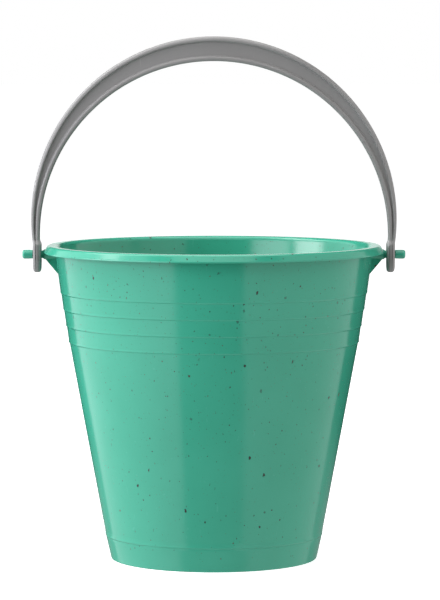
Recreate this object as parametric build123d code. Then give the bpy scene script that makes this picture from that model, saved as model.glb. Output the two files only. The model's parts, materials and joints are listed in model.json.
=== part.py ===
from build123d import *
import os

# A child's sand bucket. The tub is one moulding: a tapered round wall with four fine stepped rings,
# a turned-out rim, a stepped foot and two headed pivot pins on webs. The handle is a second
# moulding, a crescent bail of I section whose two eyes snap over the pin heads and swing on the necks.
# Millimetres. +Z is up, the origin is on the ground under the tub's middle, and the pins lie along X.

# Rim and wall
tub_height = 157.3  # ground to the rim's flat top
rim_radius = 84.9
rim_overhang = 5.2  # from the wall's outside to the rim's edge
rim_plate = 1.8  # thickness of the rim's flat top
rim_lip_height = 3.9  # the rim's edge is turned down into a lip
rim_lip_thickness = 1.7
rim_top_round = 1.6
rim_bottom_round = 1.0
mouth_round = 2.2  # where the rim's flat top turns down into the tub
wall_thickness = 1.8

# Stepped rings below the rim: the wall above each one stands a little further out
ring_count = 4
ring_pitch = 8.22
ring_step = 0.32
top_ring_drop = 24.05  # from the rim's top down to the highest ring
band_slope = 0.128  # how far the wall leans out per millimetre of height, at the rings

# Foot and floor
foot_radius = 51.6  # outside, at the ground
foot_height = 11.75
foot_lean = 2.5  # how far the foot widens over its height
foot_step = 0.4  # how far the wall overhangs the foot
foot_step_drop = 0.9  # height of the slope under that step
foot_collar = 2.8  # nearly upright strip just above the step
foot_collar_lean = 0.25
foot_ring_width = 3.0  # what the tub stands on
foot_edge_round = 0.8
floor_rise = 2.0  # the floor's underside is clear of the ground
floor_thickness = 2.0
floor_corner_round = 3.0

# Pivot pins, one on each side
pin_drop = 4.7  # from the rim's top down to the pins' axis
pin_radius = 1.85
pin_head_length = 5.1
pin_head_round = 2.0
pin_head_back_round = 0.4
web_thickness = 2.0  # the upright web that carries each pin's root
web_drop = 9.3  # how far the web runs down the wall below the pins' axis
web_tip_drop = 1.3  # how far below the axis it leaves the rim's edge

# Handle
crown_gap = 11.45  # the lowered handle's crown lies this far outside the rim
crown_depth = 12.25  # underside of the crown to its top
handle_width = 10.0  # front to back
inner_bead = 2.5  # bead along the inside edge, at the crown
outer_bead = 2.6  # bead along the outside edge, at the crown
inner_bead_foot = 2.35  # the same two at the pins' height
outer_bead_foot = 1.75
handle_web = 7.2  # thickness between the recesses, which are shallow
handle_edge_round = 1.0
groove_width = 0.6  # the recess runs out down each leg as a groove
groove_end = 6.0  # height above the pins' axis where the groove ends
groove_top = 40.0

# Eyes at the ends of the handle
eye_gap = 1.4  # rim's edge to the eye's inner face
eye_thickness = 4.0
eye_width = 12.0
eye_drop = 9.0  # pins' axis to the eye's lowest point
eye_top = 8.0  # height above the axis where the eye has run out into the leg
eye_edge_round = 1.5
leg_inset_inner = 0.35  # the leg's faces lie this far inside the eye's two faces
leg_inset_outer = 0.87
bore_clearance = 0.25  # all round the pin's neck
head_catch = 0.15  # the pin's head stands this far proud of the bore, all round
head_gap = 0.3  # eye's outer face to the pin's head

# Places that follow from the sizes above
wall_top_radius = rim_radius - rim_overhang
pin_height = tub_height - pin_drop
handle_rise = rim_radius + crown_gap  # pins' axis to the underside of the crown
ring_heights = [tub_height - top_ring_drop - i * ring_pitch for i in range(ring_count)]
floor_top = floor_rise + floor_thickness
collar_radius = foot_radius + foot_lean + foot_step
eye_inner_x = rim_radius + eye_gap
eye_outer_x = eye_inner_x + eye_thickness
head_inner_x = eye_outer_x + head_gap
pin_tip_x = head_inner_x + pin_head_length
bore_radius = pin_radius + bore_clearance
pin_head_radius = bore_radius + head_catch


def wall_points():
    """Outside of the wall from the rim's underside down to the foot, as (radius, height)."""
    radius, height = wall_top_radius, tub_height
    points = [(radius - band_slope * rim_plate, tub_height - rim_plate)]
    for ring in ring_heights:
        radius -= band_slope * (height - ring)
        points += [(radius, ring), (radius - ring_step, ring)]
        radius, height = radius - ring_step, ring
    points += [(collar_radius + foot_collar_lean, foot_height + foot_collar), (collar_radius, foot_height)]
    return points


def wall_radius(height):
    """Outside radius of the wall at a height above the foot."""
    points = wall_points()
    for (r1, z1), (r0, z0) in zip(points, points[1:]):
        if z0 <= height <= z1 and z1 > z0:
            return r0 + (r1 - r0) * (height - z0) / (z1 - z0)
    return wall_top_radius


def round_corner(face, radius, height, rounding):
    """Round the corner of a section that is nearest to a place in it."""
    corner = face.vertices().sort_by_distance((radius, 0, height))[0]
    return fillet(corner, rounding)


def tub_shell():
    """The tub without its pins: one section turned about the upright axis."""
    wall = wall_points()
    lowest_ring = ring_heights[-1]
    lip_radius = rim_radius - rim_lip_thickness
    foot_top_radius = foot_radius + foot_lean
    inner_top = wall_top_radius - wall_thickness
    inner_ring = wall_radius(lowest_ring) - wall_thickness
    inner_foot = collar_radius - wall_thickness
    inner_floor = inner_foot - foot_lean * (foot_height - floor_top) / foot_height
    foot_inner = foot_radius - foot_ring_width
    section = [(rim_radius, tub_height), (rim_radius, tub_height - rim_lip_height),
               (lip_radius, tub_height - rim_lip_height), (lip_radius, tub_height - rim_plate)]
    section += wall
    section += [(foot_top_radius, foot_height - foot_step_drop), (foot_radius, 0), (foot_inner, 0),
                (foot_inner, floor_rise), (0, floor_rise), (0, floor_top), (inner_floor, floor_top),
                (inner_foot, foot_height), (inner_ring, lowest_ring), (inner_top, tub_height)]
    face = make_face(Plane.XZ * Polyline(*section, close=True))
    for radius, height, rounding in [(rim_radius, tub_height, rim_top_round),
                                     (rim_radius, tub_height - rim_lip_height, rim_bottom_round),
                                     (inner_top, tub_height, mouth_round),
                                     (foot_radius, 0, foot_edge_round),
                                     (inner_floor, floor_top, floor_corner_round)]:
        face = round_corner(face, radius, height, rounding)
    return revolve(face, Axis.Z)


def pivot_pin():
    """The pin on the +X side: a neck that the eye swings on and a round head that keeps it there."""
    root_x = wall_top_radius - wall_thickness / 2
    head_middle_x = head_inner_x + pin_head_length / 2
    neck_length = head_middle_x - root_x
    along_x = Pos(0, 0, pin_height) * Rot(0, 90, 0)
    neck = along_x * Pos(0, 0, root_x + neck_length / 2) * Cylinder(pin_radius, neck_length)
    head = along_x * Pos(0, 0, head_middle_x) * Cylinder(pin_head_radius, pin_head_length)
    ends = head.edges().filter_by(GeomType.CIRCLE).sort_by(Axis.X)
    head = fillet(ends[-1], pin_head_round)
    ends = head.edges().filter_by(GeomType.CIRCLE).sort_by(Axis.X)
    head = fillet(ends[0], pin_head_back_round)
    return neck + head


def pin_web():
    """The upright web under the +X pin, from the wall out to the rim's edge."""
    foot_z = pin_height - web_drop
    tip_z = pin_height - web_tip_drop
    top_z = tub_height - rim_plate / 2
    outline = [(wall_radius(foot_z) - wall_thickness / 2, foot_z), (wall_radius(foot_z), foot_z),
               (rim_radius, tip_z), (rim_radius, tub_height - rim_lip_height / 2),
               (rim_radius - rim_lip_thickness / 2, top_z), (wall_top_radius - wall_thickness / 2, top_z)]
    face = make_face(Plane.XZ * Polyline(*outline, close=True))
    return extrude(face, web_thickness / 2, both=True)


def tub():
    """Shell, pins and webs as the one moulding that they are."""
    side = pivot_pin() + pin_web()
    return tub_shell() + side + Rot(0, 0, 180) * side


def arch_disc(rise, half_span):
    """A disc, upright across the pins, whose edge is rise above their axis and half_span out at it."""
    centre = (rise ** 2 - half_span ** 2) / (2 * rise)
    return Plane.XZ * Pos(0, pin_height + centre) * Circle(rise - centre)


def band(low, high):
    """The part of the handle's plane between two heights above the pins' axis."""
    middle = pin_height + (low + high) / 2
    return Plane.XZ * Pos(0, middle) * Rectangle(4 * pin_tip_x, high - low)


def handle_recess():
    """Outline of the recess in one face: a crescent that runs out into a groove down each leg."""
    leg_inner = eye_inner_x + leg_inset_inner
    leg_outer = eye_outer_x - leg_inset_outer
    top = handle_rise + crown_depth
    outer_edge = arch_disc(top - outer_bead, leg_outer - outer_bead_foot)
    inner_edge = arch_disc(handle_rise + inner_bead, leg_inner + inner_bead_foot)
    crescent = outer_edge - inner_edge
    middle_rise = (top - outer_bead + handle_rise + inner_bead) / 2
    middle_span = (leg_outer - outer_bead_foot + leg_inner + inner_bead_foot) / 2
    half = groove_width / 2
    groove = arch_disc(middle_rise + half, middle_span + half)
    groove -= arch_disc(middle_rise - half, middle_span - half)
    return crescent + (groove & band(groove_end, groove_top))


def handle_bow():
    """The crescent between the eyes, cut back on both faces to leave a bead along each edge."""
    top = handle_rise + crown_depth
    crescent = arch_disc(top, eye_outer_x - leg_inset_outer)
    crescent -= arch_disc(handle_rise, eye_inner_x + leg_inset_inner)
    face = crescent & band(0, 2 * top)
    bow = extrude(face, handle_width / 2, both=True)
    long_edges = bow.edges().filter_by(GeomType.CIRCLE)
    bow = fillet(long_edges, handle_edge_round)
    recess = extrude(handle_recess(), handle_width, both=True)
    recess -= Pos(0, 0, pin_height) * Box(4 * pin_tip_x, handle_web, 4 * top)
    return bow - recess


def handle_eye():
    """The tongue at the foot of the +X leg, without its bore."""
    half = eye_width / 2
    low = pin_height - eye_drop + half
    outline = Plane.YZ * (Pos(0, low) * Circle(half)
                          + Pos(0, (low + pin_height) / 2) * Rectangle(eye_width, pin_height - low)
                          + make_face(Polyline((-half, pin_height), (half, pin_height),
                                               (handle_width / 2, pin_height + eye_top),
                                               (-handle_width / 2, pin_height + eye_top), close=True)))
    tongue = Pos(eye_inner_x, 0, 0) * extrude(outline, eye_thickness, dir=(1, 0, 0))
    rims = tongue.edges().filter_by(lambda edge: edge.bounding_box().size.X < eye_thickness / 2)
    rims = rims.filter_by(lambda edge: edge.bounding_box().min.Z < pin_height + eye_top / 2)
    return fillet(rims, eye_edge_round)


def handle():
    """Bow and two eyes, bored together along the pins' axis."""
    eye = handle_eye()
    solid = handle_bow() + eye + Rot(0, 0, 180) * eye
    bore = Pos(0, 0, pin_height) * Rot(0, 90, 0) * Cylinder(bore_radius, 4 * pin_tip_x)
    return solid - bore


os.makedirs("parts", exist_ok=True)
for node, shape in {"tub": tub(), "handle": handle()}.items():
    export_step(shape, f"parts/{node}.step")
    size = shape.bounding_box().size
    print(f"{node}: {len(shape.solids())} solid, {size.X:.1f} x {size.Y:.1f} x {size.Z:.1f} mm")
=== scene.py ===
import bpy
import bmesh
import json
import math
from mathutils import Matrix, Vector


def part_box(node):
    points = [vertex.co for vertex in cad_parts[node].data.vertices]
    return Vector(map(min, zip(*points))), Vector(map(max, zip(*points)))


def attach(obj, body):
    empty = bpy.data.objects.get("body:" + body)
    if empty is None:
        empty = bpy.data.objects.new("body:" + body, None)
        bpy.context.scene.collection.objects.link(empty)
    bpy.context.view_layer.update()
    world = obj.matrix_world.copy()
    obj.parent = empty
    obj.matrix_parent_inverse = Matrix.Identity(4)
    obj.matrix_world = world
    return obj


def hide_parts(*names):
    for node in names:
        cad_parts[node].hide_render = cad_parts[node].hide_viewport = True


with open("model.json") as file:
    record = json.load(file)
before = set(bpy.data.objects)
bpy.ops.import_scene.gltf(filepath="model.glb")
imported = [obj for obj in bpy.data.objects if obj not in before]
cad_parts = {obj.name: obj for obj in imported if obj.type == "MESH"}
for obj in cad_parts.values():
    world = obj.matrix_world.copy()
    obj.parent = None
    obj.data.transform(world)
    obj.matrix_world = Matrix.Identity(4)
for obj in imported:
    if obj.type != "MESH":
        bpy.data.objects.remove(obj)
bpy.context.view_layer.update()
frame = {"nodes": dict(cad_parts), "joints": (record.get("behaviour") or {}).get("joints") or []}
mm = 0.001  # every size below is in millimetres, and meshes are in metres
print("frame loaded:", ", ".join(frame["nodes"]))

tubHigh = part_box("tub")[1] / mm
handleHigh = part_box("handle")[1] / mm
pinHeight = frame["joints"][0]["pos_m"][2] / mm


roundReach = 0.49  # a round takes less than half of each run beside it
holdingEdge = 0.2  # a narrow flat at each end of a run keeps the rounds' shading out of it


def arcPoints(before, corner, after, radius, steps):
    # points of the round that takes the place of a corner between two straight runs
    toBefore, toAfter = (before - corner), (after - corner)
    half = toBefore.angle(toAfter) / 2
    reach = min(radius / math.tan(half), roundReach * toBefore.length, roundReach * toAfter.length)
    radius = reach * math.tan(half)
    middle = (toBefore.normalized() + toAfter.normalized()).normalized()
    centre = corner + middle * (radius / math.sin(half))
    start, end = corner + toBefore.normalized() * reach, corner + toAfter.normalized() * reach
    turn = (start - centre).angle_signed(end - centre)
    return [centre + Matrix.Rotation(-turn * i / steps, 2) @ (start - centre) for i in range(steps + 1)]


def roundedPath(corners, longest, steps=5):
    # corners are (across, up, rounding); long runs are divided so that faces stay even
    places = [Vector(c[:2]) for c in corners]
    path = [places[0]]
    for i in range(1, len(corners) - 1):
        if corners[i][2] > 0:
            path += arcPoints(places[i - 1], places[i], places[i + 1], corners[i][2], steps)
        else:
            path.append(places[i])
    path.append(places[-1])
    even = [path[0]]
    for point in path[1:]:
        start, run = even[-1], point - even[-1]
        pieces = max(1, math.ceil(run.length / longest))
        stops = [(i + 1) / pieces for i in range(pieces)]
        if run.length > 4 * holdingEdge:
            stops += [holdingEdge / run.length, 1 - holdingEdge / run.length]
        even += [start + run * stop for stop in sorted(stops)]
    return even


def meshObject(name, verts, edges=(), faces=()):
    mesh = bpy.data.meshes.new(name)
    mesh.from_pydata([Vector(v) * mm for v in verts], list(edges), list(faces))
    piece = bpy.data.objects.new(name, mesh)
    bpy.context.scene.collection.objects.link(piece)
    return piece


def settle(piece):
    # turns what the modifiers make into the piece's own plain mesh
    graph = bpy.context.evaluated_depsgraph_get()
    plain = bpy.data.meshes.new_from_object(piece.evaluated_get(graph))
    piece.modifiers.clear()
    piece.data = plain
    return piece


def tidyMesh(piece, weld=0.002, sharp=38):
    made = bmesh.new()
    made.from_mesh(piece.data)
    bmesh.ops.remove_doubles(made, verts=made.verts, dist=weld * mm)
    bmesh.ops.dissolve_degenerate(made, edges=made.edges, dist=weld * mm / 4)
    bmesh.ops.recalc_face_normals(made, faces=made.faces)
    made.to_mesh(piece.data)
    made.free()
    piece.data.shade_smooth()
    piece.data.set_sharp_from_angle(angle=math.radians(sharp))
    return piece


def combine(piece, other, operation):
    cut = piece.modifiers.new(operation.lower(), "BOOLEAN")
    cut.operation = operation
    cut.solver = "EXACT"
    cut.object = other
    settle(piece)
    bpy.data.objects.remove(other)
    return piece


def turningTree():
    # turns a line of points, x across and z up, about the upright axis
    tree = bpy.data.node_groups.new("turnedShape", "GeometryNodeTree")
    side = tree.interface
    side.new_socket("Outline", in_out="INPUT", socket_type="NodeSocketGeometry")
    for label, kind, value in (("Divisions", "NodeSocketInt", 64), ("Weld", "NodeSocketFloat", 1e-6)):
        side.new_socket(label, in_out="INPUT", socket_type=kind).default_value = value
    side.new_socket("Finish", in_out="INPUT", socket_type="NodeSocketMaterial")
    side.new_socket("Shape", in_out="OUTPUT", socket_type="NodeSocketGeometry")
    make, join = tree.nodes.new, tree.links.new

    def sums(operation, first, second=None):
        node = make("ShaderNodeMath")
        node.operation = operation
        for socket, value in zip(node.inputs, (first, second)):
            if isinstance(value, bpy.types.NodeSocket):
                join(value, socket)
            elif value is not None:
                socket.default_value = value
        return node.outputs[0]

    start = make("NodeGroupInput")
    count = make("GeometryNodeAttributeDomainSize")
    join(start.outputs["Outline"], count.inputs["Geometry"])
    along = count.outputs["Point Count"]
    around = start.outputs["Divisions"]
    grid = make("GeometryNodeMeshGrid")
    join(sums("ADD", around, 1), grid.inputs["Vertices X"])
    join(along, grid.inputs["Vertices Y"])
    index = make("GeometryNodeInputIndex").outputs[0]
    step = sums("FLOOR", sums("DIVIDE", sums("ADD", index, 0.5), along))
    place = sums("SUBTRACT", index, sums("MULTIPLY", step, along))
    angle = sums("MULTIPLY", sums("DIVIDE", step, around), math.tau)
    sample = make("GeometryNodeSampleIndex")
    sample.data_type = "FLOAT_VECTOR"
    join(start.outputs["Outline"], sample.inputs["Geometry"])
    join(make("GeometryNodeInputPosition").outputs[0], sample.inputs["Value"])
    join(place, sample.inputs["Index"])
    apart = make("ShaderNodeSeparateXYZ")
    join(sample.outputs["Value"], apart.inputs[0])
    together = make("ShaderNodeCombineXYZ")
    join(sums("MULTIPLY", apart.outputs["X"], sums("COSINE", angle)), together.inputs["X"])
    join(sums("MULTIPLY", apart.outputs["X"], sums("SINE", angle)), together.inputs["Y"])
    join(apart.outputs["Z"], together.inputs["Z"])
    put = make("GeometryNodeSetPosition")
    join(grid.outputs["Mesh"], put.inputs["Geometry"])
    join(together.outputs[0], put.inputs["Position"])
    weld = make("GeometryNodeMergeByDistance")
    join(put.outputs["Geometry"], weld.inputs["Geometry"])
    join(start.outputs["Weld"], weld.inputs["Distance"])
    real = make("GeometryNodeRealizeInstances")
    join(weld.outputs["Geometry"], real.inputs["Geometry"])
    finish = make("GeometryNodeSetMaterial")
    join(real.outputs["Geometry"], finish.inputs["Geometry"])
    join(start.outputs["Finish"], finish.inputs["Material"])
    end = make("NodeGroupOutput")
    join(finish.outputs["Geometry"], end.inputs["Shape"])
    return tree


turnedShape = turningTree()


def turned(name, outline, divisions, finish):
    line = meshObject(name, [(p.x, 0, p.y) for p in outline], [(i, i + 1) for i in range(len(outline) - 1)])
    modifier = line.modifiers.new("turnedShape", "NODES")
    modifier.node_group = turnedShape
    values = {"Divisions": divisions, "Weld": 0.002 * mm, "Finish": finish}
    for item in turnedShape.interface.items_tree:
        if item.in_out == "INPUT" and item.name in values:
            modifier[item.identifier] = values[item.name]
    return tidyMesh(settle(line))


def shaderGroup(name, inputs, outputs):
    group = bpy.data.node_groups.new(name, "ShaderNodeTree")
    for label, kind, value in inputs:
        socket = group.interface.new_socket(label, in_out="INPUT", socket_type="NodeSocket" + kind)
        if value is not None:
            socket.default_value = value
    for label, kind in outputs:
        group.interface.new_socket(label, in_out="OUTPUT", socket_type="NodeSocket" + kind)
    start, end = group.nodes.new("NodeGroupInput"), group.nodes.new("NodeGroupOutput")
    return group, start, end


def addNode(tree, kind, inputs=None, **settings):
    node = tree.nodes.new(kind)
    for key, value in settings.items():
        setattr(node, key, value)
    for key, value in (inputs or {}).items():
        if isinstance(value, bpy.types.NodeSocket):
            tree.links.new(value, node.inputs[key])
        else:
            node.inputs[key].default_value = value
    return node


def addMath(tree, operation, first, second):
    return addNode(tree, "ShaderNodeMath", {0: first, 1: second}, operation=operation).outputs[0]


def addRange(tree, value, fromMin=0.0, fromMax=1.0, toMin=0.0, toMax=1.0, kind="LINEAR"):
    limits = {"From Min": fromMin, "From Max": fromMax, "To Min": toMin, "To Max": toMax}
    return addNode(tree, "ShaderNodeMapRange", {"Value": value, **limits}, interpolation_type=kind).outputs[0]


fleckShape = {
    "edgeFineness": 5.0,  # how much finer the raggedness is than the cells
    "smallest": 0.35, "inner": 0.7,  # of a fleck's size: the smallest one, and where its edge is full
}


def fibreSpecksGroup():
    # ragged flecks of plant fibre set in the plastic: one possible fleck in each cell of space
    group, start, end = shaderGroup("fibreSpecks", [
        ("Place", "Vector", None), ("Cells", "Float", 200.0), ("Share", "Float", 0.3),
        ("Size", "Float", 0.1), ("Ragged", "Float", 0.4)], [("Mask", "Float"), ("Tint", "Float")])
    get = start.outputs
    fine = addMath(group, "MULTIPLY", get["Cells"], fleckShape["edgeFineness"])
    noise = addNode(group, "ShaderNodeTexNoise", {"Vector": get["Place"], "Scale": fine, "Detail": 2.0})
    push = addNode(group, "ShaderNodeVectorMath", {0: noise.outputs["Color"], 1: (0.5, 0.5, 0.5)},
                   operation="SUBTRACT")
    amount = addMath(group, "DIVIDE", addMath(group, "MULTIPLY", get["Ragged"], get["Size"]), get["Cells"])
    push = addNode(group, "ShaderNodeVectorMath", {0: push.outputs[0], "Scale": amount}, operation="SCALE")
    place = addNode(group, "ShaderNodeVectorMath", {0: get["Place"], 1: push.outputs[0]}, operation="ADD")
    cells = addNode(group, "ShaderNodeTexVoronoi", {"Vector": place.outputs[0], "Scale": get["Cells"]})
    random = addNode(group, "ShaderNodeSeparateColor", {"Color": cells.outputs["Color"]})
    chosen = addMath(group, "LESS_THAN", random.outputs["Red"], get["Share"])
    # most flecks are near the smallest size, and a few are near the largest
    small = fleckShape["smallest"]
    spread = addNode(group, "ShaderNodeMath", {0: addMath(group, "POWER", random.outputs["Green"], 2.0),
                                               1: 1.0 - small, 2: small}, operation="MULTIPLY_ADD")
    size = addMath(group, "MULTIPLY", get["Size"], spread.outputs[0])
    inner = addMath(group, "MULTIPLY", size, fleckShape["inner"])
    fleck = addRange(group, cells.outputs["Distance"], fromMin=size, fromMax=inner, kind="SMOOTHSTEP")
    mask = addMath(group, "MULTIPLY", fleck, chosen)
    group.links.new(mask, end.inputs["Mask"])
    group.links.new(random.outputs["Blue"], end.inputs["Tint"])
    return group


skinMarks = {
    "scratchFrom": 0.69, "scratchFull": 0.76,
    # the turn and the stretch of the space for each set of scratches
    "scratches": [((0.3, 0.2, 0.5), (14.0, 14.0, 1.0)), ((0.9, 1.1, 0.2), (12.0, 1.0, 12.0))],
}


def mouldedSkinGroup():
    # the faint grain, flow clouding and handling marks of a moulded surface
    group, start, end = shaderGroup("mouldedSkin", [
        ("Place", "Vector", None), ("Grain", "Float", 2500.0), ("Clouds", "Float", 14.0),
        ("Scratches", "Float", 60.0)], [("Height", "Float"), ("Cloud", "Float"), ("Scuff", "Float")])
    get = start.outputs
    grain = addNode(group, "ShaderNodeTexNoise", {"Vector": get["Place"], "Scale": get["Grain"],
                                                  "Detail": 2.0, "Roughness": 0.6})
    clouds = addNode(group, "ShaderNodeTexNoise", {"Vector": get["Place"], "Scale": get["Clouds"],
                                                   "Detail": 4.0, "Roughness": 0.55})
    thin = None
    for turn, stretch in skinMarks["scratches"]:
        lines = addNode(group, "ShaderNodeMapping", {"Vector": get["Place"], "Rotation": turn,
                                                     "Scale": stretch})
        streak = addNode(group, "ShaderNodeTexNoise", {"Vector": lines.outputs[0], "Scale": get["Scratches"],
                                                       "Detail": 3.0})
        line = addRange(group, streak.outputs["Fac"], fromMin=skinMarks["scratchFrom"],
                        fromMax=skinMarks["scratchFull"], kind="SMOOTHSTEP")
        thin = line if thin is None else addMath(group, "MAXIMUM", thin, line)
    group.links.new(grain.outputs["Fac"], end.inputs["Height"])
    group.links.new(clouds.outputs["Fac"], end.inputs["Cloud"])
    group.links.new(thin, end.inputs["Scuff"])
    return group


fibreSpecks = fibreSpecksGroup()
mouldedSkin = mouldedSkinGroup()


def newMaterial(name):
    material = bpy.data.materials.new(name)
    material.use_nodes = True
    tree = material.node_tree
    shader = tree.nodes["Principled BSDF"]
    place = tree.nodes.new("ShaderNodeTexCoord").outputs["Object"]
    return material, tree, shader, place


def blendColour(tree, factor, first, second):
    node = addNode(tree, "ShaderNodeMix", {"Factor": factor}, data_type="RGBA")
    for socket, value in ((node.inputs[6], first), (node.inputs[7], second)):
        if isinstance(value, bpy.types.NodeSocket):
            tree.links.new(value, socket)
        else:
            socket.default_value = value
    return node.outputs[2]


def useGroup(tree, group, **inputs):
    node = addNode(tree, "ShaderNodeGroup", node_tree=group)
    for label, value in inputs.items():
        if isinstance(value, bpy.types.NodeSocket):
            tree.links.new(value, node.inputs[label])
        else:
            node.inputs[label].default_value = value
    return node.outputs


middleFrom, middleTo = 0.35, 0.65  # the part of a noise that is spread out from none to all
plasticIndex = 1.5  # how strongly plastic bends light


def cloudedColour(tree, skin, deep, light):
    spread = addRange(tree, skin["Cloud"], fromMin=middleFrom, fromMax=middleTo)
    return blendColour(tree, spread, deep, light)


def finishPlastic(tree, shader, look, skin, colour, raised=None):
    # colour, gloss and relief; raised is the mask of the flecks, where they can be felt
    base, spread = look["roughness"], look["roughnessSpread"]
    rough = addRange(tree, skin["Cloud"], toMin=base - spread, toMax=base + spread)
    rough = addMath(tree, "ADD", rough, addMath(tree, "MULTIPLY", skin["Scuff"], look["scuffRoughness"]))
    relief = skin["Height"]
    if raised is not None:
        rough = addMath(tree, "ADD", rough, addMath(tree, "MULTIPLY", raised, look["fleckRoughness"]))
        relief = addMath(tree, "ADD", relief, addMath(tree, "MULTIPLY", raised, look["fleckHeight"]))
    bump = addNode(tree, "ShaderNodeBump", {"Strength": 1.0, "Distance": look["grainDepth"] * mm,
                                            "Height": relief})
    tree.links.new(colour, shader.inputs["Base Color"])
    tree.links.new(rough, shader.inputs["Roughness"])
    tree.links.new(bump.outputs[0], shader.inputs["Normal"])
    shader.inputs["IOR"].default_value = plasticIndex


tubPlastic = {
    "green": (0.054, 0.412, 0.275, 1), "deepGreen": (0.044, 0.378, 0.248, 1),
    "paleGreen": (0.12, 0.53, 0.39, 1), "bark": (0.012, 0.010, 0.007, 1),
    "husk": (0.055, 0.028, 0.016, 1), "sunken": (0.018, 0.15, 0.10, 1),
    "huskFrom": 0.55, "sunkenFrom": 0.68,  # a fleck's tint: bark up to the first, sunken past the second
    "roughness": 0.15, "roughnessSpread": 0.04, "scuffRoughness": 0.10, "fleckRoughness": 0.15,
    "grainDepth": 0.004, "fleckHeight": 0.6, "scuffShare": 0.18,
    "skin": {"Grain": 2200.0, "Clouds": 16.0, "Scratches": 45.0},
    # the share of the flecks that is there at the ground, and the height in metres where all are
    "fleckFoot": 0.35, "fleckFull": 0.10,
    # cells per metre, share of cells with a fleck, size in cells, how ragged, how strongly it shows
    "flecks": [(220.0, 0.60, 0.17, 2.0, 1.0), (480.0, 1.0, 0.19, 2.0, 0.9), (900.0, 0.8, 0.22, 1.6, 0.55)],
    # each layer of flecks has its own place and turn, and all are a little taller than wide
    "layerShift": (0.37, 0.11, 0.53), "layerTurn": (0.5, 0.7, 0.4), "fleckStretch": (1.0, 1.0, 0.75),
}


def tubMaterial():
    look = tubPlastic
    material, tree, shader, place = newMaterial("speckledGreenPlastic")
    skin = useGroup(tree, mouldedSkin, Place=place, **look["skin"])
    colour = cloudedColour(tree, skin, look["deepGreen"], look["green"])
    scuff = addMath(tree, "MULTIPLY", skin["Scuff"], look["scuffShare"])
    colour = blendColour(tree, scuff, colour, look["paleGreen"])
    height = addNode(tree, "ShaderNodeSeparateXYZ", {0: place}).outputs["Z"]
    dense = addRange(tree, height, fromMax=look["fleckFull"], toMin=look["fleckFoot"])
    shift, lean = look["layerShift"], look["layerTurn"]
    raised = None
    for layer, (cells, share, size, ragged, strength) in enumerate(look["flecks"]):
        turn = addNode(tree, "ShaderNodeMapping", {
            "Vector": place, "Location": (shift[0] * layer, shift[1], shift[2]),
            "Rotation": (lean[0] * layer, lean[1], lean[2] * layer), "Scale": look["fleckStretch"]})
        fleck = useGroup(tree, fibreSpecks, Place=turn.outputs[0], Cells=cells, Size=size, Ragged=ragged,
                         Share=addMath(tree, "MULTIPLY", dense, share))
        tone = addNode(tree, "ShaderNodeValToRGB", {"Fac": fleck["Tint"]})
        ramp = tone.color_ramp
        ramp.interpolation = "CONSTANT"
        ramp.elements[0].color = look["bark"]
        ramp.elements[1].position, ramp.elements[1].color = look["huskFrom"], look["husk"]
        ramp.elements.new(look["sunkenFrom"]).color = look["sunken"]
        strong = addMath(tree, "MULTIPLY", fleck["Mask"], strength)
        colour = blendColour(tree, strong, colour, tone.outputs["Color"])
        raised = fleck["Mask"] if raised is None else addMath(tree, "MAXIMUM", raised, fleck["Mask"])
    finishPlastic(tree, shader, look, skin, colour, raised)
    return material


handlePlastic = {
    "grey": (0.29, 0.285, 0.28, 1), "deepGrey": (0.272, 0.267, 0.262, 1),
    "paleGrey": (0.46, 0.45, 0.44, 1), "dust": (0.30, 0.29, 0.28, 1), "dustShare": 0.12, "scuffShare": 0.25,
    "roughness": 0.30, "roughnessSpread": 0.05, "scuffRoughness": 0.12, "grainDepth": 0.005,
    "skin": {"Grain": 1500.0, "Clouds": 30.0, "Scratches": 60.0},
    "flecks": {"Cells": 420.0, "Share": 0.12, "Size": 0.08, "Ragged": 1.5}, "fleckStrength": 0.5,
}


def handleMaterial():
    look = handlePlastic
    material, tree, shader, place = newMaterial("greyPlastic")
    skin = useGroup(tree, mouldedSkin, Place=place, **look["skin"])
    colour = cloudedColour(tree, skin, look["deepGrey"], look["grey"])
    grain = addRange(tree, skin["Height"], fromMin=middleFrom, fromMax=middleTo, toMax=look["dustShare"])
    colour = blendColour(tree, grain, colour, look["dust"])
    scuff = addMath(tree, "MULTIPLY", skin["Scuff"], look["scuffShare"])
    colour = blendColour(tree, scuff, colour, look["paleGrey"])
    fleck = useGroup(tree, fibreSpecks, Place=place, **look["flecks"])
    mask = addMath(tree, "MULTIPLY", fleck["Mask"], look["fleckStrength"])
    colour = blendColour(tree, mask, colour, look["dust"])
    finishPlastic(tree, shader, look, skin, colour)
    return material


speckledGreen = tubMaterial()
plainGrey = handleMaterial()
print("materials made")


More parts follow.
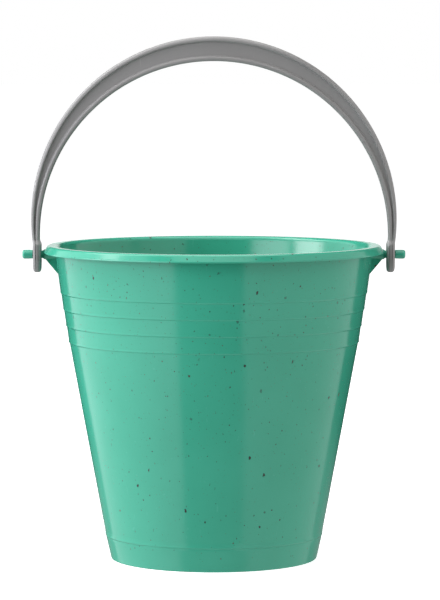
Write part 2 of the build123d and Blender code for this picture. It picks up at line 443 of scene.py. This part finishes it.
# the tub is one moulding of shell, pins and webs
tubSizes = {
    "divisions": 288, "longestRun": 4.0,
    "wall": 1.8, "overhang": 5.2, "plate": 1.8, "lipHeight": 3.9, "lipThickness": 1.7,
    # the rim slopes down outside its flat top: each corner is (in from the edge, down from the top)
    "shoulderFlat": 2.4, "shoulderTop": (1.5, 0.5), "shoulderFoot": (0.1, 3.2),
    "rimTopRound": 0.6, "shoulderRound": 1.2, "mouthRound": 2.2,
    "innerLipRound": 0.5, "lipInnerEdge": 0.3, "lipOuterEdge": 0.4,
    "rings": 4, "ringPitch": 8.22, "ringStep": 0.32, "topRingDrop": 24.05, "bandSlope": 0.128,
    "ringUpright": 0.9, "ringSoften": 0.6,  # heights over which the wall is upright, and turns in
    "softPower": 1.6, "softPieces": 5,  # the curve of that turn, and its divisions
    "footRadius": 51.6, "footHeight": 11.75, "footLean": 2.5, "footStep": 0.4, "footStepDrop": 0.9,
    "footStepShare": 0.8, "footSlope": 0.09, "footStepRound": 0.3,
    "collar": 2.8, "collarLean": 0.25, "collarRound": 2.0,
    "footRing": 3.0, "footRound": 0.8, "footInnerRound": 0.4, "innerWallRound": 20.0, "innerFootRound": 3.0,
    "floorRise": 2.0, "floor": 2.0, "floorRound": 3.0, "gateRadius": 2.4, "gateDrop": 0.5, "gateRound": 0.2,
}


def softStep(radius, height, step, slope):
    # the wall stands upright for a little, then curves in to a crisp inside corner
    s = tubSizes
    upright, soften, pieces = s["ringUpright"], s["ringSoften"], s["softPieces"]
    start = radius + slope * (soften + upright * 0.5)
    curve = [(start, height + soften + upright, 0)]
    for i in range(pieces + 1):
        t = i / pieces
        curve.append((start + (radius - step - start) * t ** s["softPower"], height + soften * (1 - t), 0))
    return curve


def tubOutline():
    s = tubSizes
    top, rim = tubHigh.z, tubHigh.y
    wallTop = rim - s["overhang"]
    down = [(wallTop - s["bandSlope"] * s["plate"], top - s["plate"], s["innerLipRound"])]
    radius, height = wallTop, top
    for i in range(s["rings"]):
        ring = top - s["topRingDrop"] - i * s["ringPitch"]
        radius -= s["bandSlope"] * (height - ring)
        down += softStep(radius, ring, s["ringStep"], s["bandSlope"])
        radius, height = radius - s["ringStep"], ring
    innerRing, lowestRing = radius + s["ringStep"] - s["wall"], height
    collar = s["footRadius"] + s["footLean"] + s["footStep"]
    down.append((collar + s["collarLean"], s["footHeight"] + s["collar"], s["collarRound"]))
    down += softStep(collar, s["footHeight"], s["footStep"] * s["footStepShare"], s["footSlope"])
    footTop = s["footRadius"] + s["footLean"]
    innerFoot = collar - s["wall"]
    floorTop = s["floorRise"] + s["floor"]
    innerFloor = innerFoot - s["footLean"] * (s["footHeight"] - floorTop) / s["footHeight"]
    footInner = s["footRadius"] - s["footRing"]
    lip = rim - s["lipThickness"]
    (topIn, topDrop), (footIn, footDrop) = s["shoulderTop"], s["shoulderFoot"]
    gate = s["floorRise"] - s["gateDrop"]
    under = [(0, gate, 0), (s["gateRadius"], gate, s["gateRound"]),
             (s["gateRadius"], s["floorRise"], s["gateRound"]),
             (footInner, s["floorRise"], s["footInnerRound"]), (footInner, 0, s["footInnerRound"]),
             (s["footRadius"], 0, s["footRound"]),
             (footTop, s["footHeight"] - s["footStepDrop"], s["footStepRound"])]
    over = [(lip, top - s["plate"], s["innerLipRound"]), (lip, top - s["lipHeight"], s["lipInnerEdge"]),
            (rim, top - s["lipHeight"], s["lipOuterEdge"]),
            (rim - footIn, top - footDrop, s["shoulderRound"]),
            (rim - topIn, top - topDrop, s["shoulderRound"]),
            (rim - s["shoulderFlat"], top, s["rimTopRound"]), (wallTop - s["wall"], top, s["mouthRound"]),
            (innerRing, lowestRing, s["innerWallRound"]), (innerFoot, s["footHeight"], s["innerFootRound"]),
            (innerFloor, floorTop, s["floorRound"]), (0, floorTop, 0)]
    return roundedPath(under + down[::-1] + over, s["longestRun"])


pinSizes = {
    "divisions": 48, "longestRun": 2.0, "roundSteps": 7,
    "radius": 1.85, "headRadius": 2.25, "headLength": 5.1, "headRound": 2.1, "headBack": 0.45,
    # how far the head narrows at its back and tip, and where its widest place is
    "headBackIn": 0.08, "headTipIn": 0.05, "headTaper": 0.6, "headSideRound": 2.0,
    "rootFlare": 0.7, "flareLength": 0.9, "flareBack": 0.2, "rootDepth": 6.0,
    "flareRound": 2.0, "neckRound": 0.2,
    "webThickness": 2.0, "webDrop": 9.3, "webTipDrop": 1.3, "webRound": 0.35, "webRoundSteps": 3,
    # the web starts below its foot inside the wall, and its outer side stays inside the rim's slope
    "webRootDrop": 0.5, "webProud": 0.05, "webTipIn": 0.25, "webSideIn": 0.4, "webSideUp": 0.2,
}


def pinOutline():
    # across the pin, and out along it
    p = pinSizes
    rim, tip = tubHigh.y, tubHigh.x
    neckEnd = tip - p["headLength"]
    flare, root = p["radius"] + p["rootFlare"], rim - p["flareBack"]
    corners = [(0, rim - p["rootDepth"], 0), (flare, rim - p["rootDepth"], 0), (flare, root, 0),
               (p["radius"], root + p["flareLength"], p["flareRound"]),
               (p["radius"], neckEnd, p["neckRound"]),
               (p["headRadius"] - p["headBackIn"], neckEnd, p["headBack"]),
               (p["headRadius"], tip - p["headRound"] - p["headTaper"], p["headSideRound"]),
               (p["headRadius"] - p["headTipIn"], tip, p["headRound"]), (0, tip, 0)]
    return roundedPath(corners, p["longestRun"], steps=p["roundSteps"])


def pinWeb(name):
    # the upright web under the pin, with its edges rounded
    p, s = pinSizes, tubSizes
    rim = tubHigh.y
    wallTop = rim - s["overhang"]
    foot, tip, top = pinHeight - p["webDrop"], pinHeight - p["webTipDrop"], tubHigh.z - s["plate"] / 2
    wallAtFoot = wallTop - s["bandSlope"] * (tubHigh.z - foot)
    outline = [(wallAtFoot - s["wall"] / 2, foot - p["webRootDrop"]), (wallAtFoot + p["webProud"], foot),
               (rim - p["webTipIn"], tip),
               (rim - p["webSideIn"], tubHigh.z - s["lipHeight"] + p["webSideUp"]),
               (rim - s["shoulderFlat"], top), (wallTop - s["wall"] / 2, top)]
    half = p["webThickness"] / 2
    count = len(outline)
    verts = [(x, y, z) for y in (-half, half) for x, z in outline]
    faces = [tuple(range(count)), tuple(range(2 * count - 1, count - 1, -1))]
    faces += [(i, (i + 1) % count, count + (i + 1) % count, count + i) for i in range(count)]
    web = meshObject(name, verts, faces=faces)
    soften = web.modifiers.new("soften", "BEVEL")
    soften.width, soften.segments = p["webRound"] * mm, p["webRoundSteps"]
    return tidyMesh(settle(web))


def makeTub():
    tub = turned("tubMoulding", tubOutline(), tubSizes["divisions"], speckledGreen)
    for turn in (0, math.pi):
        pin = turned("pin", pinOutline(), pinSizes["divisions"], speckledGreen)
        pin.data.transform(Matrix.Translation((0, 0, pinHeight * mm)) @ Matrix.Rotation(math.pi / 2, 4, "Y"))
        web = pinWeb("web")
        for part in (pin, web):
            part.data.transform(Matrix.Rotation(turn, 4, "Z"))
            combine(tub, part, "UNION")
    tub.data.materials.clear()
    tub.data.materials.append(speckledGreen)
    return tidyMesh(tub)


tub = makeTub()
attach(tub, "tub")
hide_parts("tub")
print("tub made:", len(tub.data.polygons), "faces")


# the handle is a crescent bail with beaded edges, lofted from eye to eye
handleSizes = {
    "crownDepth": 12.25, "width": 10.0, "innerBead": 2.5, "outerBead": 2.6, "innerBeadFoot": 2.35,
    "outerBeadFoot": 1.75, "web": 7.2, "draft": 0.05, "hollowRound": 0.4,
    "outerEdgeRound": 1.8, "innerEdgeRound": 1.15, "outerBeadRound": 0.7, "innerBeadRound": 1.15,
    "groove": 0.6, "grooveEnd": 6.0, "grooveFade": 14.0,
    "eyeGap": 1.4, "eyeThickness": 4.0, "eyeWidth": 12.0, "eyeDrop": 9.0, "eyeTop": 8.0, "eyeRound": 1.5,
    "legInner": 0.35, "legOuter": 0.87, "boreRadius": 2.1, "boreRound": 0.35,
    "boreMouth": 0.02, "boreMouthRound": 0.42, "boreReach": 1, "boreDivisions": 48, "longestRun": 2.0,
    "bowStations": 150, "cornerSteps": 6, "legPitch": 0.25, "endStations": 22,
    "grooveEndStations": 9, "grooveEndPitch": 0.06,
    "leastBead": 0.05, "leastHollow": 0.02, "hollowSpare": 0.03, "hollowShare": 0.28,
    # thin parts of the leg have smaller roundings: how fast they shrink, and the least that is left
    "edgeShrink": 1.6, "edgeLeast": 0.62,
    "grooveShallow": 0.35, "grooveRunOut": 0.5,  # its depth in the leg, and the height it fades in
    # where the groove gives way to the plain eye, and how much of the eye the divisions then take
    "plainFrom": 0.2, "plainTo": -1.5, "plainShare": 0.35, "legHold": 2,
    "eyeBlendFrom": 0.5, "eyeBlendTo": 3.2, "outerStraight": 2.0,
}


class Arch:
    # an arc above the pins, given by its height over them and its half width at them
    def __init__(self, rise, halfSpan):
        self.centre = (rise ** 2 - halfSpan ** 2) / (2 * rise)
        self.radius = rise - self.centre

    def alongRay(self, middle, angle):
        # how far the arc is from a point on the middle line, angle measured from straight up
        offset = middle - self.centre
        return -offset * math.cos(angle) + math.sqrt(self.radius ** 2 - (offset * math.sin(angle)) ** 2)

    def across(self, height):
        return math.sqrt(self.radius ** 2 - (height - self.centre) ** 2)


def smooth(low, high, value):
    t = min(1.0, max(0.0, (value - low) / (high - low)))
    return t * t * (3 - 2 * t)


def halfSection(outer, inner, half, mouthOuter, mouthInner, depth, edges):
    # front half of one section, from the outside edge to the inside edge: (across, forward).
    # edges holds the rounding of the outer and inner edge, across and deep
    h = handleSizes
    steps = h["cornerSteps"]
    quarter = [i / steps * math.pi / 2 for i in range(steps + 1)]
    (outAcross, outDeep), (inAcross, inDeep) = edges
    least = h["leastBead"]
    beadOuter = max(least, min(h["outerBeadRound"], outer - mouthOuter - outAcross - least))
    beadInner = max(least, min(h["innerBeadRound"], mouthInner - inner - inAcross - least))
    halfGap = (mouthOuter - mouthInner) / 2
    hollow = min(h["hollowRound"], max(h["leastHollow"], halfGap - h["draft"] - h["hollowSpare"]))
    floor, rise = half - depth, depth * h["hollowShare"]
    drop = depth - rise
    points = [(outer - outAcross * (1 - math.cos(a)), half - outDeep * (1 - math.sin(a))) for a in quarter]
    points += [(mouthOuter + beadOuter * (1 - math.sin(a)), half - drop * (1 - math.cos(a))) for a in quarter]
    points += [(mouthOuter - h["draft"] - hollow * (1 - math.cos(a)), floor + rise * (1 - math.sin(a)))
               for a in quarter]
    points += [(mouthInner + h["draft"] + hollow * (1 - math.sin(a)), floor + rise * (1 - math.cos(a)))
               for a in quarter]
    points += [(mouthInner - beadInner * (1 - math.cos(a)), half - drop * (1 - math.sin(a))) for a in quarter]
    points += [(inner + inAcross * (1 - math.sin(a)), half - inDeep * (1 - math.cos(a))) for a in quarter]
    return points


def handleStations():
    # one (origin, direction, section) for each place from the crown down to the right eye's end
    h = handleSizes
    eyeInner = tubHigh.y + h["eyeGap"]
    eyeOuter = eyeInner + h["eyeThickness"]
    rise = handleHigh.z - pinHeight - h["crownDepth"]
    top = rise + h["crownDepth"]
    inner = Arch(rise, eyeInner + h["legInner"])
    outer = Arch(top, eyeOuter - h["legOuter"])
    mouthInner = Arch(rise + h["innerBead"], eyeInner + h["legInner"] + h["innerBeadFoot"])
    mouthOuter = Arch(top - h["outerBead"], eyeOuter - h["legOuter"] - h["outerBeadFoot"])
    middle = (inner.centre + outer.centre) / 2
    fullDepth = (h["width"] - h["web"]) / 2
    stations = []

    def add(origin, direction, outAt, inAt, mouthOutAt, mouthInAt, half, height, edges):
        gap = max((mouthOutAt - mouthInAt) / 2, h["groove"] / 2)
        centre = (mouthOutAt + mouthInAt) / 2
        spread = smooth(h["grooveEnd"] + h["plainFrom"], h["grooveEnd"] + h["plainTo"], height)
        gap += ((outAt - inAt) / 2 * h["plainShare"] - gap) * spread
        centre += ((outAt + inAt) / 2 - centre) * spread
        shallow = h["grooveShallow"]
        deep = fullDepth * (shallow + (1 - shallow) * smooth(h["grooveEnd"], h["grooveFade"], height))
        deep *= math.sqrt(min(1.0, max(0.0, (height - h["grooveEnd"]) / h["grooveRunOut"])))
        section = halfSection(outAt, inAt, half, centre + gap, centre - gap, deep, edges)
        stations.append((origin, direction, section))

    def bowEdges(thick):
        # both edges are rounded less where the leg gets thin
        fit = max(h["edgeLeast"], min(1.0, thick / h["crownDepth"] * h["edgeShrink"]))
        return ((h["outerEdgeRound"] * fit,) * 2, (h["innerEdgeRound"] * fit,) * 2)

    for i in range(h["bowStations"] + 1):
        angle = math.pi / 2 * i / h["bowStations"]
        height = middle + math.cos(angle) * inner.radius
        direction = (math.sin(angle), math.cos(angle))
        reaches = [arch.alongRay(middle, angle) for arch in (outer, inner, mouthOuter, mouthInner)]
        add((0, middle), direction, *reaches, h["width"] / 2, height, bowEdges(reaches[0] - reaches[1]))
    low = h["eyeWidth"] / 2 - h["eyeDrop"]
    pitch = h["legPitch"]
    heights = [middle - pitch * (i + 1) for i in range(int((middle - low) / pitch))]
    heights += [h["grooveEnd"] + h["grooveEndPitch"] * i for i in range(h["grooveEndStations"])] + [low]
    heights = sorted(set(round(z, 4) for z in heights if low <= z < middle), reverse=True)
    endRadius = h["eyeWidth"] / 2
    ends = h["endStations"]
    heights += [low - endRadius * math.sin(math.pi / 2 * (i + 1) / ends) for i in range(ends)]
    for z in heights:
        toEye = smooth(h["eyeTop"] - h["eyeBlendFrom"], h["eyeTop"] - h["eyeBlendTo"], z)
        outAt = outer.across(max(z, h["outerStraight"])) * (1 - toEye) + eyeOuter * toEye
        inAt = inner.across(z) * (1 - toEye) + eyeInner * toEye
        half = h["width"] / 2 + (h["eyeWidth"] - h["width"]) / 2 * toEye
        edges = [[leg + (h["eyeRound"] - leg) * toEye for leg in edge] for edge in bowEdges(outAt - inAt)]
        if z < low:
            past = low - z
            half = math.sqrt(max(0.0, endRadius ** 2 - past ** 2))
            flat = endRadius - h["eyeRound"]
            deep = half - (math.sqrt(flat ** 2 - past ** 2) if past < flat else 0.0)
            across = h["eyeRound"]
            if past > flat:
                tuck = h["eyeRound"] - math.sqrt(max(0.0, h["eyeRound"] ** 2 - (past - flat) ** 2))
                outAt, inAt, across = outAt - tuck, inAt + tuck, max(across - tuck, h["leastBead"])
            edges = ((across, deep), (across, deep))
        legZ = max(z, h["grooveEnd"] - h["legHold"])
        add((0, z), (1, 0), outAt, inAt, mouthOuter.across(legZ), mouthInner.across(legZ), half, z, edges)
    return stations


def makeHandle():
    h = handleSizes
    stations = handleStations()
    rings = []
    mirrored = [(o, (-d[0], d[1]), s) for o, d, s in stations[:0:-1]]
    for origin, direction, section in mirrored + stations:
        loop = section + [(across, -forward) for across, forward in section[::-1]]
        rings.append([(origin[0] + direction[0] * across, -forward,
                       pinHeight + origin[1] + direction[1] * across) for across, forward in loop])
    count = len(rings[0])
    verts = [v for ring in rings for v in ring]
    faces = []
    for start in range(0, (len(rings) - 1) * count, count):
        for i in range(count):
            after = (i + 1) % count
            faces.append((start + i, start + after, start + count + after, start + count + i))
    handle = tidyMesh(meshObject("handleMoulding", verts, faces=faces), weld=0.004)
    eyeInner = tubHigh.y + h["eyeGap"]
    eyeOuter = eyeInner + h["eyeThickness"]
    narrow, wide = h["boreRadius"], h["boreRadius"] + h["boreRound"]
    reach, mouth, rounding = h["boreReach"], h["boreMouth"], h["boreMouthRound"]
    bore = roundedPath([(0, eyeInner - reach, 0), (wide, eyeInner - reach, 0), (wide, eyeInner, 0),
                        (narrow, eyeInner + mouth, rounding), (narrow, eyeOuter - mouth, rounding),
                        (wide, eyeOuter, 0), (wide, eyeOuter + reach, 0), (0, eyeOuter + reach, 0)],
                       h["longestRun"])
    for turn in (0, math.pi):
        cutter = turned("bore", bore, h["boreDivisions"], plainGrey)
        cutter.data.transform(Matrix.Rotation(turn, 4, "Z") @ Matrix.Translation((0, 0, pinHeight * mm))
                              @ Matrix.Rotation(math.pi / 2, 4, "Y"))
        combine(handle, cutter, "DIFFERENCE")
    handle.data.materials.clear()
    handle.data.materials.append(plainGrey)
    return tidyMesh(handle)


handle = makeHandle()
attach(handle, "handle")
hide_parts("handle")
print("handle made:", len(handle.data.polygons), "faces")


# floor, light and world
studio = {
    "floorSize": 40.0, "floorColour": (0.80, 0.80, 0.80, 1), "floorRoughness": 0.9, "floorGlow": 1.0,
    "floorNear": (0.78, 0.78, 0.78, 1), "floorFar": (1, 1, 1, 1), "nearEnds": 0.25, "farStarts": 1.5,
    # the floor in gloss: its brightness, the share that shows near the object, and where that fades
    "floorInGloss": 0.65, "glossShare": 0.4, "glossFull": 0.08, "glossEnds": 0.42,
    # the paper behind as the camera has it, and how bright the room is: all round, behind and below
    "paper": 1.0, "room": 0.02, "behind": 0.9, "below": 0.65,
    # where each starts and is full, as the part of a direction's length that points back or up
    "behindStarts": (0.955, 0.985), "behindRises": (-0.05, 0.0), "belowStarts": (-0.38, -0.75),
    "cool": (0.99, 1.0, 1.07), "plain": (1, 1, 1),
    # place and what it faces in metres, width, height, brightness, tone
    "lights": {
        "leftSoftbox": ((-1.2, -0.425, 0.2), (0, -0.425, 0.2), 3.49, 2.8, 1.35, "cool"),
        "leftStrip": ((-1.15, -1.0, 0.47), (0, -1.0, 0.47), 2.0, 0.37, 2.7, "cool"),
        "leftCore": ((-1.14, -0.2, 0.39), (0, -0.2, 0.39), 0.6, 0.26, 4.8, "plain"),
        "rightSoftbox": ((1.2, -0.97, 0.2), (0, -0.97, 0.2), 3.94, 2.8, 0.86, "plain"),
        "leftHigh": ((-1.0, 0.1, 1.3), (0, 0, 0.15), 0.8, 0.8, 5.0, "plain"),
        "topSoftbox": ((-0.1, 0.1, 1.5), (-0.1, 0.1, 0), 1.4, 1.4, 2.5, "plain"),
        "topFront": ((0, -1.0, 1.2), (0, 0, 0.15), 1.2, 0.7, 1.6, "plain"),
    },
}


def makeFloor():
    material, tree, shader, place = newMaterial("paleFloor")
    shader.inputs["Base Color"].default_value = studio["floorColour"]
    shader.inputs["Roughness"].default_value = studio["floorRoughness"]
    away = addNode(tree, "ShaderNodeVectorMath", {0: place}, operation="LENGTH").outputs["Value"]
    far = addRange(tree, away, fromMin=studio["nearEnds"], fromMax=studio["farStarts"], kind="SMOOTHSTEP")
    glow = blendColour(tree, far, studio["floorNear"], studio["floorFar"])
    tree.links.new(glow, shader.inputs["Emission Color"])
    shader.inputs["Emission Strength"].default_value = studio["floorGlow"]
    # in gloss only the floor round the object shows, and it fades with distance
    near = addRange(tree, away, fromMin=studio["glossEnds"], fromMax=studio["glossFull"],
                    toMax=studio["glossShare"], kind="SMOOTHSTEP")
    clear = tree.nodes.new("ShaderNodeBsdfTransparent")
    bounce = addNode(tree, "ShaderNodeEmission", {"Strength": studio["floorInGloss"]})
    mirrored = addNode(tree, "ShaderNodeMixShader", {0: near, 1: clear.outputs[0], 2: bounce.outputs[0]})
    seen = tree.nodes.new("ShaderNodeLightPath").outputs["Is Camera Ray"]
    both = addNode(tree, "ShaderNodeMixShader", {0: seen, 1: mirrored.outputs[0], 2: shader.outputs[0]})
    tree.links.new(both.outputs[0], tree.nodes["Material Output"].inputs["Surface"])
    half = studio["floorSize"] / 2 / mm
    floor = meshObject("floor", [(-half, -half, 0), (half, -half, 0), (half, half, 0), (-half, half, 0)],
                       faces=[(0, 1, 2, 3)])
    floor.data.materials.append(material)
    floor.visible_diffuse = floor.visible_shadow = False  # the studio light round the object does this part


def makeLights():
    for name, (place, target, wide, tall, bright, tone) in studio["lights"].items():
        lamp = bpy.data.lights.new(name, "AREA")
        lamp.shape, lamp.size, lamp.size_y = "RECTANGLE", wide, tall
        lamp.energy = bright * math.pi * wide * tall
        lamp.color = studio[tone]
        holder = bpy.data.objects.new(name, lamp)
        bpy.context.scene.collection.objects.link(holder)
        holder.location = place
        holder.rotation_euler = (Vector(target) - Vector(place)).to_track_quat("-Z", "Y").to_euler()
        holder.visible_camera = False


def makeWorld():
    world = bpy.data.worlds.new("studioWorld")
    bpy.context.scene.world = world
    world.use_nodes = True
    tree = world.node_tree
    tree.nodes.clear()
    place = tree.nodes.new("ShaderNodeTexCoord").outputs["Generated"]
    way = addNode(tree, "ShaderNodeSeparateXYZ", {0: place}).outputs

    def part(axis, stops, level):
        return addRange(tree, way[axis], fromMin=stops[0], fromMax=stops[1], toMax=level, kind="SMOOTHSTEP")

    behind = addMath(tree, "MULTIPLY", part("Y", studio["behindStarts"], 1.0),
                     part("Z", studio["behindRises"], studio["behind"]))
    level = addMath(tree, "ADD", behind, part("Z", studio["belowStarts"], studio["below"]))
    level = addMath(tree, "ADD", level, studio["room"])
    room = addNode(tree, "ShaderNodeBackground", {"Color": level})
    paper = addNode(tree, "ShaderNodeBackground", {"Color": (1, 1, 1, 1), "Strength": studio["paper"]})
    seen = tree.nodes.new("ShaderNodeLightPath").outputs["Is Camera Ray"]
    both = addNode(tree, "ShaderNodeMixShader", {0: seen, 1: room.outputs[0], 2: paper.outputs[0]})
    out = tree.nodes.new("ShaderNodeOutputWorld")
    tree.links.new(both.outputs[0], out.inputs["Surface"])


# level with the top of the handle, a long lens well in front, tipped down by a few degrees
cameraSetting = {"lens": 203.1, "sensor": 36.0, "place": (0.00305, -1.6894, 0.2572), "tipDown": 4.318}


def makeCamera():
    view = bpy.data.cameras.new("camera")
    view.lens, view.sensor_width = cameraSetting["lens"], cameraSetting["sensor"]
    camera = bpy.data.objects.new("camera", view)
    bpy.context.scene.collection.objects.link(camera)
    camera.location = cameraSetting["place"]
    camera.rotation_euler = (math.radians(90 - cameraSetting["tipDown"]), 0, 0)
    bpy.context.scene.camera = camera


makeFloor()
makeLights()
makeWorld()
makeCamera()
bpy.context.scene.view_settings.view_transform = "Standard"
print("studio made")
